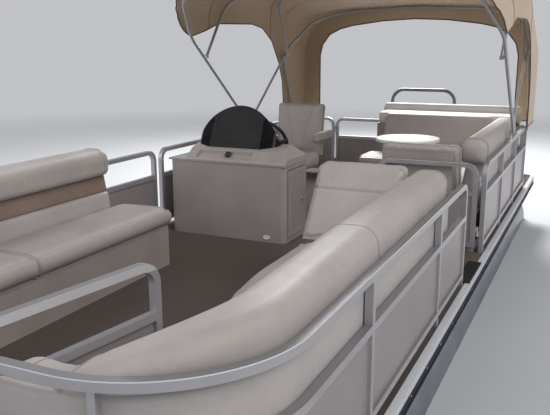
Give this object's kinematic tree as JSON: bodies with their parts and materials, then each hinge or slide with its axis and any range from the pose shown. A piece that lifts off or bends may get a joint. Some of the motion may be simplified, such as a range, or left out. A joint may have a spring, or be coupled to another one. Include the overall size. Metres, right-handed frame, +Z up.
{
  "type": "pontoon boat",
  "caption": "Twin-tube pontoon boat with fenced deck, bow lounges, helm console, L-shaped stern lounge, bimini top and outboard motor.",
  "frame": {"origin": "midway along the whole length and width, at the underside of the keels", "axes": "+X to the bow, +Y to port, +Z up"},
  "size_m": [8.8054, 2.598, 2.8155],
  "materials": {
    "base_plastic": "taupe rotomoulded plastic",
    "black_plastic": "black moulded plastic",
    "canvas": "tan acrylic canvas",
    "carpet": "brown-taupe marine carpet over plywood",
    "console_plastic": "taupe-beige gelcoat",
    "fence_skin": "beige-taupe painted sheet",
    "motor_paint": "black motor paint",
    "satin_aluminium": "satin extruded aluminium",
    "smoked_acrylic": "dark smoked acrylic",
    "stainless": "polished stainless steel",
    "tan_vinyl": "tan marine vinyl",
    "taupe_vinyl": "taupe-grey marine vinyl",
    "tube_aluminium": "brushed marine aluminium",
    "white_plastic": "white moulded plastic"
  },
  "bodies": {
    "boat": {"pontoon_port": "tube_aluminium", "pontoon_starboard": "tube_aluminium", "deck_risers": "tube_aluminium", "cross_channels": "tube_aluminium", "deck_boards": "carpet", "deck_edge_trim": "satin_aluminium", "motor_pod": "tube_aluminium", "mooring_cleats": "stainless", "fence_frame_port": "satin_aluminium", "fence_frame_starboard": "satin_aluminium", "fence_panels_port": "fence_skin", "fence_panels_starboard": "fence_skin", "port_bow_lounge_base": "base_plastic", "port_bow_seats": "taupe_vinyl", "port_bow_back_pad": "taupe_vinyl", "port_bow_back_stripe": "tan_vinyl", "port_bow_bolster": "taupe_vinyl", "port_bow_chaise_back": "taupe_vinyl", "starboard_bow_lounge_base": "base_plastic", "starboard_bow_seats": "taupe_vinyl", "starboard_bow_back_pad": "taupe_vinyl", "starboard_bow_back_stripe": "tan_vinyl", "starboard_bow_bolster": "taupe_vinyl", "stern_lounge_base": "base_plastic", "stern_lounge_seats": "taupe_vinyl", "stern_lounge_back_pads": "taupe_vinyl", "stern_lounge_bolsters": "taupe_vinyl", "stern_lounge_forward_back": "taupe_vinyl", "table_top": "white_plastic", "table_post": "satin_aluminium", "console_shell": "console_plastic", "console_dash": "console_plastic", "windscreen": "smoked_acrylic", "throttle_control": "black_plastic", "chair_pedestal": "satin_aluminium", "motor_clamp_bracket": "motor_paint", "bimini_mounts": "satin_aluminium", "bimini_bow_rear": "satin_aluminium", "bimini_rear_braces": "satin_aluminium", "bimini_canopy": "canvas", "stern_hoop": "satin_aluminium"},
    "bow_gate": {"bow_gate_frame": "satin_aluminium", "bow_gate_panel": "fence_skin"},
    "side_gate": {"side_gate_frame": "satin_aluminium", "side_gate_panel": "fence_skin"},
    "stern_gate": {"stern_gate_frame": "satin_aluminium", "stern_gate_panel": "fence_skin"},
    "console_door": {"console_door": "console_plastic"},
    "steering_wheel": {"steering_wheel": "black_plastic"},
    "chair": {"chair_seat": "taupe_vinyl", "chair_back": "taupe_vinyl", "chair_arms": "taupe_vinyl"},
    "motor_bracket": {"motor_swivel_bracket": "motor_paint"},
    "motor": {"motor_leg": "motor_paint", "motor_cowl": "motor_paint"},
    "propeller": {"motor_propeller": "motor_paint"},
    "bimini_front": {"bimini_bow_front": "satin_aluminium"},
    "bimini_second": {"bimini_bow_second": "satin_aluminium"},
    "bimini_third": {"bimini_bow_third": "satin_aluminium"}
  },
  "joints": [
    {"name": "bow_gate_hinge", "type": "hinge", "parent": "boat", "child": "bow_gate", "pos_m": [3.8727, 0.4075, 1.095], "axis": [0, 0, 1], "range_deg": [0, 98.5]},
    {"name": "side_gate_hinge", "type": "hinge", "parent": "boat", "child": "side_gate", "pos_m": [0.1902, 1.205, 1.095], "axis": [0, 0, 1], "range_deg": [0, 90]},
    {"name": "stern_gate_hinge", "type": "hinge", "parent": "boat", "child": "stern_gate", "pos_m": [-2.3673, -0.8075, 1.095], "axis": [0, 0, 1], "range_deg": [-90, 0]},
    {"name": "console_door_hinge", "type": "hinge", "parent": "boat", "child": "console_door", "pos_m": [0.5027, -0.105, 1.085], "axis": [0, 0, 1], "range_deg": [-100, 0]},
    {"name": "steering_wheel_turn", "type": "hinge", "parent": "boat", "child": "steering_wheel", "pos_m": [0.0627, -0.49, 1.5], "axis": [0.8829, 0, -0.4695], "range_deg": [-540, 540]},
    {"name": "chair_swivel", "type": "hinge", "parent": "boat", "child": "chair", "pos_m": [-0.3573, -0.49, 1.215], "axis": [0, 0, 1], "range_deg": [-100, 100]},
    {"name": "motor_tilt", "type": "hinge", "parent": "boat", "child": "motor_bracket", "pos_m": [-3.4973, 0, 0.745], "axis": [0, 1, 0], "range_deg": [-62, 0]},
    {"name": "motor_steer", "type": "hinge", "parent": "motor_bracket", "child": "motor", "pos_m": [-3.66965, 0, 0.74963], "axis": [0.8829, 0, 0.4695], "range_deg": [-35, 35]},
    {"name": "propeller_turn", "type": "hinge", "parent": "motor", "child": "propeller", "pos_m": [-4.30334, 0, 0.81249], "axis": [-0.4695, 0, 0.8829], "continuous": true},
    {"name": "bimini_fold", "type": "hinge", "parent": "boat", "child": "bimini_front", "pos_m": [-1.0973, 0, 1.495], "axis": [0, 1, 0], "range_deg": [-95, 0], "deforming": ["bimini_canopy"]},
    {"name": "second_bow_turn", "type": "hinge", "parent": "bimini_front", "child": "bimini_second", "pos_m": [-0.278, 0, 2.14205], "axis": [0, 1, 0], "range_deg": [-1, 84]},
    {"name": "third_bow_turn", "type": "hinge", "parent": "boat", "child": "bimini_third", "pos_m": [-1.94354, 0, 2.135], "axis": [0, 1, 0], "range_deg": [-70, 1]}
  ],
  "couplings": [
    {"joint": "motor_steer", "follows": "steering_wheel_turn", "ratio": -0.064815},
    {"joint": "second_bow_turn", "follows": "bimini_fold", "ratio": -0.88421},
    {"joint": "third_bow_turn", "follows": "bimini_fold", "ratio": 0.73684}
  ]
}
